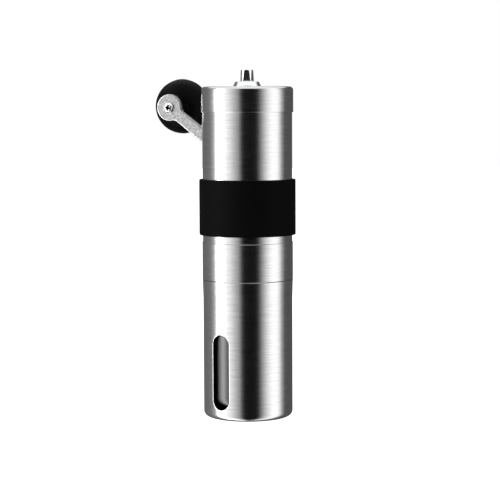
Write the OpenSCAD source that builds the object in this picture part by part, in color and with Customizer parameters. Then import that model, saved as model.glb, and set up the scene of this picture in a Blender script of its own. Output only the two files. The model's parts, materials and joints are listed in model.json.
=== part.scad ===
// Hand crank coffee grinder: a steel hopper tube over a ceramic burr set and a pull-off catch cup.
// Millimetres, +Z up, base on Z = 0, spindle on the Z axis.
// The crank is parked at the back (+Y), its end in the grip band.

/* [Body] */
// Outside diameter of the hopper tube
tube_d = 48; // [47.6:0.2:50]
// Sheet thickness of the steel shells
steel_t = 0.6; // [0.5:0.05:0.7]
// Height of the hopper tube's top edge
tube_top = 174.7; // [172:0.1:180]
// Height of the steel collar round the burr housing
collar_h = 20; // [20:0.5:22]
// How far the collar stands out beyond the tube
collar_step = 0.3; // [0.25:0.05:0.5]

/* [Catch cup] */
// Height of the catch cup's steel shell
cup_h = 73.8; // [73:0.2:75]
// Radius that turns the shell's wall into its flat base
cup_base_r = 3; // [2:0.5:4]
// How far the shell's mouth flares outwards
mouth_flare = 0.25; // [0.1:0.05:0.3]
// Width of the sight slot
slot_w = 10.6; // [6:0.2:12]
// Height of the sight slot from end to end
slot_h = 40.2; // [20:0.2:50]
// Height of the slot's lower end above the base
slot_z = 5.6; // [4:0.2:12]
// Angle of the slot round from the front, towards the left
slot_turn = 18; // [0:1:60]
// Wall of the clear liner
liner_t = 1.2; // [0.8:0.1:1.4]

/* [Lid] */
// Height of the lid from its skirt's edge to its top
lid_h = 13.6; // [12:0.2:15]
// Radius of the lid's top corner
lid_corner_r = 2; // [1.6:0.1:2.4]
// Foot diameter of the chromed boss round the spindle
boss_d = 14.8; // [14:0.2:17]
// Height of the boss above the lid
boss_h = 2.7; // [2.2:0.1:3]

/* [Burrs] */
// Outside diameter of the fixed ring burr
ring_burr_d = 37; // [36:0.5:37]
// Height of the fixed ring burr
ring_burr_h = 19; // [18:0.5:19]
// Widest diameter of the turning cone burr
cone_burr_d = 27.4; // [26:0.2:27.4]
// Gap between the two burrs at the setting shown
burr_gap = 0.45; // [0.3:0.05:0.6]

/* [Spindle] */
// Height of the spindle's tip above the base
tip_z = 185.5; // [184:0.1:188]
// Height of the five-sided drive
drive_h = 5.9; // [5:0.1:7]
// Radius from the axis to each of the drive's five flats
drive_flat_r = 3.14; // [3:0.02:3.2]
// Diameter of the upper journal
journal_d = 7.5; // [7.4:0.1:7.6]
// Diameter of the shank through the hopper
shank_d = 6; // [5.8:0.1:6]
// Pitch of the adjusting thread
thread_pitch = 1; // [0.8:0.1:1.2]

/* [Grip band] */
// Height of the band's lower edge
band_z = 97.8; // [96:0.1:99]
// Height of the band
band_h = 29.7; // [28:0.1:32]
// Thickness of the band
band_t = 2; // [1.6:0.1:2.4]

/* [Crank] */
// Distance from the spindle socket to the knob's axis
crank_len = 78; // [70:1:80]
// Thickness of the crank's steel strip
strip_t = 2.4; // [2:0.1:2.6]
// Width of the strip between its ends
strip_w = 6.8; // [6:0.2:9]
// Diameter of the strip's round ends
strip_end_d = 14.8; // [14:0.2:15]
// Drop of the strip's bend
bend_drop = 4; // [0:0.5:6]
// Slope of the parked crank below the level
park_slope = 38; // [37:0.5:39]
// Lean of the parked crank about its own length
park_lean = 3; // [0:0.5:3.5]

/* [Knob] */
// Diameter of the ball knob
knob_d = 30.4; // [26:0.2:32]
// Distance from the strip's inner face to the ball's centre
knob_reach = 18.7; // [18:0.1:20]

/* [Hidden] */
$fn = 96;

touch = 0.05;    // gap between pieces that are pressed or laid together
slip = 0.1;      // gap between pieces that slide or turn on each other
cut = 1;         // how far a cutting shape runs past what it cuts
seam = 0.2;      // gap that shows between the cup and the collar

// Radii from the outside in
tube_r = tube_d / 2;
tube_in = tube_r - steel_t;
spigot_r = tube_in - touch;
collar_r = tube_r + collar_step;
flange_r = collar_r - steel_t - touch;
liner_r = tube_in - 0.2;
liner_in = liner_r - liner_t;
neck_r = liner_in - slip;
band_r = tube_r + band_t;
lid_r = tube_r + slip + 0.5;
ring_burr_r = ring_burr_d / 2;
pocket_r = ring_burr_r + slip;
cone_burr_r = cone_burr_d / 2;
journal_r = journal_d / 2;
shank_r = shank_d / 2;

// Heights from the base up
collar_z = cup_h + seam;
tube_z = collar_z + collar_h;
neck_z = collar_z - 10;
neck_h = 8;
ring_burr_z = neck_z + neck_h;
pocket_top = ring_burr_z + ring_burr_h + slip;
cone_burr_z = ring_burr_z - 1;
cone_burr_h = 21;
hub_z = cone_burr_z - 1.5;
hub_top = cone_burr_z + cone_burr_h + 0.2;
spider_z = pocket_top + 11.9;
spider_h = 8;
spring_top = spider_z - 1.2;
housing_top = tube_z + 20;
bridge_z = tube_top - 24.7;
bridge_h = 8;
lid_top = tube_top + 1.9;
lid_z = lid_top - lid_h;
drive_z = tip_z - drive_h;

// Draws a 2D shape on the right of the Z axis as a solid of revolution.
module turned() { rotate_extrude() children(); }

// A plain ring between two radii and two heights.
module ring(r_in, r_out, z, h) {
    translate([0, 0, z]) difference() {
        cylinder(r = r_out, h = h);
        translate([0, 0, -cut]) cylinder(r = r_in, h = h + 2 * cut);
    }
}

// Copies a child n times round the Z axis.
module round_copies(n, start = 0) {
    for (i = [0 : n - 1]) rotate([0, 0, start + i * 360 / n]) children();
}

// Half section of a round cup: its wall at r, its floor at z, corner radius c, up to the height top.
module cup_section(r, c, z, top) {
    translate([0, z]) square([r - c, c]);
    translate([0, z + c]) square([r, top - z - c]);
    translate([r - c, z + c]) circle(c);
}

// Rectangle with its two outer corners rounded, for the section of a ring with soft outer edges.
module soft_section(r_in, r_out, z, h, c) {
    translate([r_in, z]) square([r_out - r_in - c, h]);
    translate([r_in, z + c]) square([r_out - r_in, h - 2 * c]);
    translate([r_out - c, z + c]) circle(c);
    translate([r_out - c, z + h - c]) circle(c);
}

// ---- Catch cup ----

// Upright slot with round ends, cut through the front wall along the radius.
module slot_cutter() {
    r = slot_w / 2;
    reach = 6;
    rotate([0, 0, 270 - slot_turn]) translate([tube_r - reach, 0, 0]) {
        for (z = [slot_z + r, slot_z + slot_h - r]) translate([0, 0, z]) rotate([0, 90, 0])
            cylinder(r = r, h = 2 * reach);
        translate([0, -r, slot_z + r]) cube([2 * reach, slot_w, slot_h - slot_w]);
    }
}

module cup_shell() {
    wall_r = tube_r - 0.05;
    mid_r = wall_r - steel_t / 2;
    flare_h = 9.8;
    groove_r = 12;
    groove_w = 1.5;
    groove_deep = 0.25;
    color("silver") difference() {
        turned() difference() {
            union() {
                cup_section(wall_r, cup_base_r, 0, cup_h);
                polygon([[mid_r, cup_h - flare_h], [wall_r, cup_h - flare_h], [tube_r + mouth_flare, cup_h],
                         [mid_r, cup_h]]);
            }
            cup_section(tube_in, cup_base_r - steel_t, steel_t, cup_h + cut);
        }
        ring(groove_r, groove_r + groove_w, -cut, cut + groove_deep);
        slot_cutter();
    }
}

// Clear cup: it stands in from the shell behind the slot, and steps out above it to take the housing's neck.
module cup_liner() {
    low_r = tube_in - 2.4;
    low_in = low_r - liner_t;
    step_z = slot_z + slot_h + 3;
    step_h = liner_r - low_r;
    top = cup_h - 0.8;
    floor_z = 2.8;
    corner = 9;
    foot_r = 11;
    color("gainsboro", 0.4) {
        turned() difference() {
            union() {
                cup_section(low_r, corner, floor_z, step_z);
                polygon([[0, step_z], [low_r, step_z], [liner_r, step_z + step_h], [liner_r, top], [0, top]]);
            }
            cup_section(low_in, corner - liner_t, floor_z + liner_t, step_z);
            polygon([[0, step_z], [low_in, step_z], [liner_in, step_z + step_h], [liner_in, top + cut],
                     [0, top + cut]]);
        }
        ring(foot_r - 1, foot_r + 1, steel_t + touch, floor_z - steel_t);
    }
}

// ---- Hopper ----

module hopper_tube() {
    color("silver") ring(tube_in, tube_r, tube_z, tube_top - tube_z);
}

module housing_collar() {
    color("silver") turned() soft_section(collar_r - steel_t, collar_r, collar_z, collar_h, 0.25);
}

// Moves the crank's own frame to its parked place: X along the strip to the knob, Z away from the tube.
socket_at = [7.8, tube_r + 0.7, 117.9];
module at_park() {
    translate(socket_at) rotate([-90, 180 + park_slope, 0]) rotate([-park_lean, 0, 0]) children();
}

// Clear way for the crank's end in the band: closed at its inner end and open towards the knob.
slot_deep = 8;                  // how far the way reaches in towards the tube
slot_over = strip_t + 0.5;      // how far it reaches out over the strip
slot_ease = 0.35;               // room all round the strip's end
slot_run = 60;                  // how far it runs on towards the knob
pad_t = 1.6;                    // rubber left outside it

module parking_slot() {
    r = strip_end_d / 2 + slot_ease;
    at_park() translate([0, 0, -slot_deep]) {
        cylinder(r = r, h = slot_deep + slot_over);
        translate([0, -r, 0]) cube([slot_run, 2 * r, slot_deep + slot_over]);
    }
}

// Raised back of the band, over the parking slot, with bevelled edges.
module band_pad() {
    side_t = 1.9;
    draft = 0.6;
    bevel = 1.4;
    r = strip_end_d / 2 + side_t;
    root = 2 - slot_deep;
    thin = 0.1;
    run = 40;
    top = slot_over + pad_t;
    intersection() {
        at_park() hull() for (x = [0, run]) translate([x, 0, 0]) {
            translate([0, 0, root]) cylinder(r = r + draft, h = thin, $fn = 32);
            translate([0, 0, top - bevel]) cylinder(r = r, h = thin, $fn = 32);
            translate([0, 0, top - thin]) cylinder(r = r - bevel, h = thin, $fn = 32);
        }
        translate([0, 0, band_z]) cylinder(r = 2 * tube_r, h = band_h);
    }
}

module grip_band() {
    soft = 0.7;
    color([0.08, 0.08, 0.08]) difference() {
        union() {
            turned() soft_section(tube_r - 1, band_r, band_z, band_h, soft);
            band_pad();
        }
        translate([0, 0, band_z - cut]) cylinder(r = tube_r + 0.02, h = band_h + 2 * cut);
        parking_slot();
    }
}

// Hub with three arms that reach out to a ring.
module spider(hub_r, z, hub_h, arm_w, arm_h, reach) {
    translate([0, 0, z]) {
        cylinder(r = hub_r, h = hub_h);
        round_copies(3, 90) translate([0, -arm_w / 2, 0]) cube([reach, arm_w, arm_h]);
    }
}

screw_ring_r = 19.9;
screw_r = 0.9;
screw_head_r = 1.6;
screw_start = 30;        // angle of the first retainer screw
arm_h = 6;
bush_r = 5;
top_bush_r = 5.5;

module burr_housing() {
    throat_r = 15.2;
    rim_r = spigot_r - 1.3;
    rim_h = 5;
    screw_deep = 9;
    color([0.12, 0.12, 0.12]) difference() {
        union() {
            turned() polygon([[pocket_r, ring_burr_z], [neck_r, ring_burr_z], [neck_r, collar_z],
                              [flange_r, collar_z], [flange_r, tube_z], [spigot_r, tube_z],
                              [spigot_r, housing_top],
                              [rim_r, housing_top], [rim_r, housing_top - rim_h], [throat_r, pocket_top],
                              [pocket_r, pocket_top]]);
            spider(bush_r + 2, spider_z, spider_h, 3.6, arm_h, spigot_r - 0.6);
        }
        translate([0, 0, spider_z - cut]) cylinder(r = bush_r, h = spider_h + 2 * cut);
        round_copies(3, screw_start) translate([screw_ring_r, 0, ring_burr_z - cut])
            cylinder(r = screw_r, h = screw_deep + cut);
    }
}

module burr_retainer() {
    hole_r = 15.5;
    lead = 0.8;
    sink = 1.6;
    color([0.12, 0.12, 0.12]) difference() {
        turned() polygon([[hole_r, neck_z], [neck_r - lead, neck_z], [neck_r, neck_z + lead],
                          [neck_r, ring_burr_z - touch], [hole_r, ring_burr_z - touch]]);
        round_copies(3, screw_start) translate([screw_ring_r, 0, neck_z]) {
            translate([0, 0, -cut]) cylinder(r = screw_head_r + touch, h = sink + cut);
            cylinder(r = screw_r + touch, h = neck_h + cut);
        }
    }
}

module retainer_screws() {
    head_h = 1.3;
    length = 15;
    key_r = 0.7;
    key_deep = 0.8;
    color("dimgray") round_copies(3, screw_start) translate([screw_ring_r, 0, neck_z + 0.2]) difference() {
        union() {
            cylinder(r = screw_head_r, h = head_h);
            cylinder(r = screw_r, h = length);
        }
        translate([0, 0, -cut]) cylinder(r = key_r, h = key_deep + cut, $fn = 6);
    }
}

module top_bridge() {
    color([0.12, 0.12, 0.12]) difference() {
        union() {
            ring(spigot_r - 1.8, spigot_r, bridge_z, bridge_h);
            spider(top_bush_r + 2, bridge_z, bridge_h, 4, arm_h, spigot_r - 0.6);
        }
        translate([0, 0, bridge_z - cut]) cylinder(r = top_bush_r, h = bridge_h + 2 * cut);
    }
}

bush_rim_h = 1;
washer_t = 0.8;

// Flanged sleeve bearing pressed into a hub from above.
module bush(bore_r, sleeve_r, z, h) {
    rim = 1.3;
    difference() {
        union() {
            translate([0, 0, z]) cylinder(r = sleeve_r, h = h);
            translate([0, 0, z + h]) cylinder(r = sleeve_r + rim, h = bush_rim_h);
        }
        translate([0, 0, z - cut]) cylinder(r = bore_r, h = h + bush_rim_h + 2 * cut);
    }
}

module top_bush() { color("ivory") bush(journal_r + touch, top_bush_r, bridge_z, bridge_h); }

module lower_bush() { color("ivory") bush(shank_r + touch, bush_r, spider_z, spider_h); }

module thrust_washer() {
    color("lightgray") ring(shank_r + slip, 6, spider_z + spider_h + bush_rim_h, washer_t);
}

// ---- Lid ----

module lid_cap() {
    skin = 0.5;
    color("silver") difference() {
        translate([0, 0, lid_top]) mirror([0, 0, 1]) turned() difference() {
            cup_section(lid_r, lid_corner_r, 0, lid_h);
            cup_section(lid_r - skin, lid_corner_r - skin, skin, lid_h + cut);
        }
        translate([0, 0, lid_top - cut]) cylinder(r = bush_r + touch, h = 2 * cut);
    }
}

// Plastic disc under the lid's skin, with a rim that enters the tube and ribs out to it from the hub.
module lid_liner() {
    seat = tube_top + touch;
    top = lid_top - 0.55;
    disc_t = 0.55;
    crown_in = 1;
    bore = bush_r + touch;
    hub_r = 7.6;
    hub_h = 4.7;
    rim_r = tube_in - 0.2;
    rim_in = rim_r - 1.4;
    rim_h = 6.7;
    rib_t = 1.2;
    rib_h = 3.6;
    lap = 0.1;
    color([0.12, 0.12, 0.12]) {
        ring(bore, tube_r - lap, seat, disc_t);
        ring(bore, tube_r - lap - crown_in, seat, top - seat);
        ring(rim_in, rim_r, seat - rim_h, rim_h + lap);
        ring(bore, hub_r, seat - hub_h, hub_h + lap);
        round_copies(4, 45) translate([hub_r - 3 * lap, -rib_t / 2, seat - rib_h])
            cube([rim_in - hub_r + 6 * lap, rib_t, rib_h + lap]);
    }
}

module lid_boss() {
    foot_r = boss_d / 2;
    foot_h = 0.3;
    bore_r = journal_r + slip;
    bore_edge = 0.4;
    neck_h = 7;
    taper = 1.1;
    shoulder = 0.95;
    top = lid_top + boss_h;
    shoulder_r = foot_r - taper - shoulder;
    color([0.8, 0.8, 0.82]) turned() {
        polygon([[bore_r, lid_top - neck_h], [bush_r, lid_top - neck_h], [bush_r, lid_top], [foot_r, lid_top],
                 [foot_r, lid_top + foot_h], [shoulder_r + shoulder, top - shoulder], [shoulder_r, top],
                 [bore_r + bore_edge, top], [bore_r, top - bore_edge]]);
        translate([shoulder_r, top - shoulder]) circle(shoulder);
    }
}

// ---- Spindle ----

clip_z = spider_z + spider_h + bush_rim_h + washer_t + touch;
clip_t = 0.8;
clip_seat_r = 2.4;
thread_h = 12.5;
thread_z = hub_z + 1 - thread_h;
thread_top = thread_z + thread_h;
hex_top = hub_top + 1.3;
hex_r = 3;
journal_z = bridge_z - 3;
drive_root_r = 3.72;     // radius the drive's corners are turned to at its root
drive_tip_r = 3.32;      // and near its tip
drive_turn = 249;        // angle of one of its corners

// Section of the adjusting thread, drawn as ridges one pitch apart.
module thread_section() {
    crest = 2.5;
    root = 2.15;
    turns = floor((thread_top - thread_z) / thread_pitch);
    polygon(concat([[0, thread_z]],
                   [for (i = [0 : turns - 1], s = [0, 1])
                       [s == 0 ? root : crest, thread_z + (i + s * 0.5) * thread_pitch]],
                   [[root, thread_top], [0, thread_top]]));
}

module spindle() {
    tip_edge = 0.5;
    color([0.75, 0.75, 0.77]) {
        turned() thread_section();
        translate([0, 0, thread_top]) cylinder(r = hex_r, h = hex_top - thread_top, $fn = 6);
        difference() {
            translate([0, 0, hex_top]) cylinder(r = shank_r, h = journal_z - hex_top);
            ring(clip_seat_r, shank_r + cut, clip_z - touch, clip_t + 2 * touch);
        }
        translate([0, 0, journal_z]) cylinder(r = journal_r, h = drive_z - journal_z);
        intersection() {
            translate([0, 0, drive_z]) rotate([0, 0, drive_turn])
                cylinder(r = drive_flat_r / cos(36), h = drive_h, $fn = 5);
            turned() polygon([[0, drive_z], [drive_root_r, drive_z], [drive_tip_r, tip_z - tip_edge],
                              [drive_tip_r - tip_edge, tip_z], [0, tip_z]]);
        }
    }
}

module retaining_clip() {
    outer_r = 5.4;
    mouth = 3.8;
    notch_r = 0.9;
    color("dimgray") difference() {
        ring(clip_seat_r + touch, outer_r, clip_z, clip_t);
        translate([0, -mouth / 2, clip_z - cut]) cube([outer_r + cut, mouth, clip_t + 2 * cut]);
        for (a = [110, 250]) rotate([0, 0, a]) translate([3.9, 0, clip_z - cut])
            cylinder(r = notch_r, h = clip_t + 2 * cut);
    }
}

module spring_washer() {
    color("ivory") ring(shank_r + slip, 6.2, spring_top, 1.2 - touch);
}

// ---- Spring ----

wire_r = 0.45;
coil_r = 4.3;
coil_turns = 5.5;
coil_sides = 6;
coil_steps = 14;

// Centre of the wire at a share t of the coil, with its first and last turn closed up.
function coil_z(t) =
    let (dead = 0.9 / coil_turns, low = hub_top + touch + wire_r, high = spring_top - touch - wire_r)
    t < dead ? low + t / dead * 0.9 :
    t > 1 - dead ? high - (1 - t) / dead * 0.9 :
    low + 0.9 + (t - dead) / (1 - 2 * dead) * (high - low - 1.8);
function coil_point(t, side) =
    let (a = t * coil_turns * 360, b = side * 360 / coil_sides, r = coil_r + wire_r * cos(b))
    [r * cos(a), r * sin(a), coil_z(t) + wire_r * sin(b)];

module burr_spring() {
    rings = floor(coil_turns * coil_steps);
    points = [for (i = [0 : rings], s = [0 : coil_sides - 1]) coil_point(i / rings, s)];
    walls = [for (i = [0 : rings - 1], s = [0 : coil_sides - 1]) let (n = coil_sides, t = (s + 1) % n)
        [i * n + s, (i + 1) * n + s, (i + 1) * n + t, i * n + t]];
    ends = [[for (s = [0 : coil_sides - 1]) s], [for (s = [coil_sides - 1 : -1 : 0]) rings * coil_sides + s]];
    color("silver") polyhedron(points = points, faces = concat(walls, ends));
}

// ---- Burrs ----

burr_slope = 0.28;       // how much the grinding faces close in for each millimetre up
grind_band = 5;          // height of the fine grinding faces
flute_r = 1.5;           // radius of the flutes that draw the beans down
hub_r = 5.5;             // sleeve that carries the cone burr

module ring_burr() {
    low_r = cone_burr_r + burr_gap - burr_slope;
    waist_r = low_r - burr_slope * grind_band;
    top_r = 15.1;
    color("white") difference() {
        translate([0, 0, ring_burr_z]) turned()
            polygon([[low_r, 0], [ring_burr_r, 0], [ring_burr_r, ring_burr_h], [top_r, ring_burr_h],
                     [waist_r, grind_band]]);
        round_copies(12) translate([waist_r + 1.6, 0, ring_burr_z + grind_band + 8]) rotate([22, 11, 0])
            cylinder(r = flute_r, h = 17, center = true);
    }
}

module cone_burr() {
    bore_r = hub_r + slip;
    waist_r = cone_burr_r - burr_slope * grind_band;
    tip_r = 6.3;
    flute_lean = 19;
    color("white") difference() {
        translate([0, 0, cone_burr_z]) turned()
            polygon([[bore_r, 0], [cone_burr_r, 0], [waist_r, grind_band], [tip_r, cone_burr_h],
                     [bore_r, cone_burr_h]]);
        round_copies(12) translate([10.6, 0, cone_burr_z + 13]) rotate([0, -flute_lean, 0])
            cylinder(r = flute_r, h = 32, center = true);
    }
}

module burr_hub() {
    flange_r = 9.5;
    flange_top = cone_burr_z - touch;
    click_w = 0.8;
    click_deep = 0.4;
    color([0.12, 0.12, 0.12]) difference() {
        union() {
            translate([0, 0, hub_z]) cylinder(r = flange_r, h = flange_top - hub_z);
            translate([0, 0, hub_z]) cylinder(r = hub_r, h = hub_top - hub_z);
        }
        translate([0, 0, hub_z - cut]) cylinder(r = hex_r + slip, h = hub_top - hub_z + 2 * cut, $fn = 6);
        round_copies(12) translate([hub_r + 0.7, -click_w / 2, hub_z - cut])
            cube([flange_r - hub_r, click_w, cut + click_deep]);
    }
}

// ---- Grind adjustment ----

dial_h = 7;
dial_z = hub_z - touch - dial_h;
nut_r = 4.6;
nut_h = 5;

// Three-lobed knob that turns the nut, with a hollow between each pair of lobes.
module adjust_dial() {
    body_r = 8;
    step_h = 0.6;
    lobe_r = 3.4;
    color([0.12, 0.12, 0.12]) difference() {
        union() {
            translate([0, 0, dial_z]) cylinder(r = body_r, h = dial_h - step_h);
            translate([0, 0, dial_z]) cylinder(r = 5.6, h = dial_h);
            round_copies(3) translate([body_r + 0.2, 0, dial_z]) cylinder(r = lobe_r, h = dial_h - step_h);
        }
        translate([0, 0, dial_z - cut]) cylinder(r = nut_r + touch, h = nut_h + touch + cut, $fn = 6);
        translate([0, 0, dial_z]) cylinder(r = 2.9, h = dial_h + cut);
        round_copies(3, 60) translate([body_r + 2.3, 0, dial_z - cut])
            cylinder(r = lobe_r, h = dial_h + 2 * cut);
    }
}

module dial_nut() {
    color("goldenrod") translate([0, 0, dial_z]) difference() {
        cylinder(r = nut_r, h = nut_h, $fn = 6);
        translate([0, 0, -cut]) cylinder(r = 2.5 + slip, h = nut_h + 2 * cut);
    }
}

// ---- Crank, drawn in its own frame: socket on the origin, knob along +X, knob side up ----

bend_start = 34;
bend_end = 42;
strip_low = -bend_drop;
post_r = 2.8;
post_top = 20;
head_t = 1.5;            // thickness of the post's head
cap_r = 5.4;             // radius of the hole in the ball that the head and the cap sit in
knob_neck_r = 6.6;
knob_low = strip_low + strip_t + 0.8;

// Seen from above: two round ends joined by the strip.
module strip_plan() {
    end_r = strip_end_d / 2;
    web = 3.2;
    web_x = end_r - 1.9;
    web_y = strip_w / 2 + 1.2;
    circle(end_r);
    translate([crank_len, 0]) circle(end_r);
    translate([0, -strip_w / 2]) square([crank_len, strip_w]);
    for (x = [0, crank_len], side = [-1, 1]) translate([x, 0]) mirror([x == 0 ? 0 : 1, 0]) difference() {
        translate([web_x, side > 0 ? 0 : -web_y]) square([web, web_y]);
        translate([web_x + web, side * (strip_w / 2 + web)]) circle(web);
    }
}

// Seen from the side: flat, a sloped bend, and flat again lower down.
module strip_side() {
    over = 20;
    lag = 0.5;
    polygon([[-over, 0], [bend_start, 0], [bend_end, strip_low], [crank_len + over, strip_low],
             [crank_len + over, strip_low + strip_t], [bend_end + lag, strip_low + strip_t],
             [bend_start + lag, strip_t], [-over, strip_t]]);
}

module crank_arm() {
    socket_ease = 0.12;
    screw_hole_r = 2;
    stock = 20;
    color([0.7, 0.7, 0.7]) at_park() difference() {
        intersection() {
            linear_extrude(stock, center = true) strip_plan();
            rotate([90, 0, 0]) linear_extrude(stock, center = true) strip_side();
        }
        translate([0, 0, -cut])
            cylinder(r = (drive_flat_r + socket_ease) / cos(36), h = strip_t + 2 * cut, $fn = 5);
        translate([crank_len, 0, strip_low - cut]) cylinder(r = screw_hole_r, h = strip_t + 2 * cut);
    }
}

// Moves a piece of the knob to the knob's axis.
module at_knob() { at_park() translate([crank_len, 0, 0]) children(); }

module knob_post() {
    head_r = 5;
    thread_r = 1.95;
    thread_deep = 15;
    color([0.75, 0.75, 0.77]) at_knob() difference() {
        union() {
            translate([0, 0, strip_low + strip_t]) cylinder(r = post_r, h = post_top - strip_low - strip_t);
            translate([0, 0, post_top - head_t]) cylinder(r = head_r, h = head_t);
        }
        translate([0, 0, strip_low]) cylinder(r = thread_r, h = thread_deep);
    }
}

// Screw with a round-edged head and a cross recess.
module knob_screw() {
    head_r = 2.9;
    head_h = 1.8;
    edge = 0.6;
    pin_r = 1.9;
    pin_h = 14;
    cross_l = 3.4;
    cross_w = 0.7;
    cross_deep = 1;
    color([0.75, 0.75, 0.77]) at_knob() translate([0, 0, strip_low]) difference() {
        union() {
            mirror([0, 0, 1]) turned() {
                square([head_r, head_h - edge]);
                square([head_r - edge, head_h]);
                translate([head_r - edge, head_h - edge]) circle(edge);
            }
            cylinder(r = pin_r, h = pin_h);
        }
        for (a = [20, 110]) rotate([0, 0, a]) translate([-cross_l / 2, -cross_w / 2, -head_h - cut])
            cube([cross_l, cross_w, cut + cross_deep]);
    }
}

module knob_washer() {
    outer_r = 6;
    thick = 0.7;
    color("ivory") at_knob() ring(post_r + touch, outer_r, strip_low + strip_t, thick);
}

module ball() {
    translate([0, 0, strip_low + knob_reach]) sphere(r = knob_d / 2);
}

module crank_knob() {
    color([0.06, 0.06, 0.06]) at_knob() difference() {
        union() {
            intersection() {
                ball();
                translate([0, 0, knob_low]) cylinder(r = knob_d, h = 2 * knob_d);
            }
            translate([0, 0, knob_low]) cylinder(r = knob_neck_r, h = 3);
        }
        translate([0, 0, knob_low - cut]) cylinder(r = post_r + slip, h = knob_d);
        translate([0, 0, post_top - head_t - slip]) cylinder(r = cap_r, h = knob_d);
    }
}

module knob_cap() {
    color([0.06, 0.06, 0.06]) at_knob() intersection() {
        ball();
        translate([0, 0, post_top + 4]) cylinder(r = cap_r - touch, h = knob_d);
    }
}

cup_shell();
cup_liner();
hopper_tube();
grip_band();
housing_collar();
burr_housing();
burr_retainer();
retainer_screws();
ring_burr();
top_bridge();
top_bush();
lower_bush();
thrust_washer();
lid_cap();
lid_liner();
lid_boss();
spindle();
retaining_clip();
spring_washer();
burr_spring();
cone_burr();
burr_hub();
adjust_dial();
dial_nut();
crank_arm();
knob_post();
knob_screw();
knob_washer();
crank_knob();
knob_cap();
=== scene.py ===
"""Surfaces, finishes and stage for a hand crank coffee grinder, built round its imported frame."""

import json
import math

import bmesh
import bpy
from bpy.props import FloatProperty, FloatVectorProperty, PointerProperty
from mathutils import Matrix, Vector


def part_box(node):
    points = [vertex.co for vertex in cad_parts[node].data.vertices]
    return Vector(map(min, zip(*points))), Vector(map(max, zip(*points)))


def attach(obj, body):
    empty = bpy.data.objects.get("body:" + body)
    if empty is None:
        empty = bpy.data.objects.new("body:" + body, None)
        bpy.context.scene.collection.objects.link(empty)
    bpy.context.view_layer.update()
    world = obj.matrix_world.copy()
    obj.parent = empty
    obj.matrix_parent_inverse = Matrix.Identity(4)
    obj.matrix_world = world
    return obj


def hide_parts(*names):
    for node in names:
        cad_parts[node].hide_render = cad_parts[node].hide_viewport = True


bl_info = {
    "name": "Coffee Grinder Surfaces",
    "version": (1, 0, 0),
    "blender": (4, 5, 0),
    "location": "View3D > Sidebar > Grinder",
    "description": "Builds the visible pieces, finishes and stage of a hand crank coffee grinder",
    "category": "Add Mesh",
}

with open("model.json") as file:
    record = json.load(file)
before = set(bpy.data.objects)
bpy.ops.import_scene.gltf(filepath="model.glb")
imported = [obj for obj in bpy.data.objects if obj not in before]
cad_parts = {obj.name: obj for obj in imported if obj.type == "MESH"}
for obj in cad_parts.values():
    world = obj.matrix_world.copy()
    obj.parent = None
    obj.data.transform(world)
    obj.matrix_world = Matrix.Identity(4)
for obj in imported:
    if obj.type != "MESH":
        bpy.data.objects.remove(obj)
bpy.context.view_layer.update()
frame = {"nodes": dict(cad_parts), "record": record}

MM = 0.001
TURNS = 256             # facets round a large turned piece
TINY = 1e-7


# ---- Frame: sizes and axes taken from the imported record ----

def round_size(node):
    """Radius, lowest and highest height of a CAD node that is round about the spindle's axis."""
    low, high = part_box(node)
    return (high[0] - low[0]) / 2, low[2], high[2]


def joint_axis(name):
    joint = next(j for j in frame["record"]["behaviour"]["joints"] if j["name"] == name)
    return Vector(joint["axis"]).normalized()


def crank_frame():
    """The crank's own frame: socket on the origin, +X along the strip to the knob, +Z out to the knob."""
    socket = next(m for m in frame["record"]["mounts"] if m["name"] == "crank_socket")
    along = joint_axis("crank_draw")
    out = joint_axis("knob_spin")
    side = out.cross(along).normalized()
    turn = Matrix((along, side, out)).transposed().to_4x4()
    return Matrix.Translation(socket["pos_m"]) @ turn


def crank_length():
    """Distance from the socket to the knob's axis."""
    joint = next(j for j in frame["record"]["behaviour"]["joints"] if j["name"] == "knob_spin")
    return (crank_frame().inverted() @ Vector(joint["pos_m"])).x


# ---- Colours and shader nodes ----

def linear(code):
    """Linear RGB of an sRGB hex colour."""
    channels = [int(code[i:i + 2], 16) / 255 for i in (1, 3, 5)]
    return tuple(c / 12.92 if c <= 0.04045 else ((c + 0.055) / 1.055) ** 2.4 for c in channels)


def add_node(tree, kind, values=None, links=None, **settings):
    """Adds a node with its settings, its socket values and the links into its sockets."""
    node = tree.nodes.new(kind)
    for name, value in settings.items():
        setattr(node, name, value)
    for name, value in (values or {}).items():
        node.inputs[name].default_value = value
    for name, source in (links or {}).items():
        tree.links.new(source, node.inputs[name])
    return node


def new_material(name, colour, values):
    """A material with one Principled shader: its node tree, the shader and the object coordinates."""
    material = bpy.data.materials.new(name)
    material.use_nodes = True
    tree = material.node_tree
    tree.nodes.clear()
    values = {"Base Color": (*colour, 1), **values}
    shader = add_node(tree, "ShaderNodeBsdfPrincipled", values)
    add_node(tree, "ShaderNodeOutputMaterial", links={"Surface": shader.outputs["BSDF"]})
    coords = add_node(tree, "ShaderNodeTexCoord")
    return material, tree, shader, coords.outputs["Object"]


def set_stops(ramp, stops):
    """Gives a colour ramp its stops, each a place and a grey level or a colour."""
    elements = ramp.color_ramp.elements
    while len(elements) > 1:
        elements.remove(elements[-1])
    for i, (place, level) in enumerate(stops):
        colour = (level, level, level) if isinstance(level, (int, float)) else level
        element = elements[0] if i == 0 else elements.new(place)
        element.position = place
        element.color = (*colour, 1)


def tint(colour, factor):
    return tuple(c * factor for c in colour)


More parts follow.
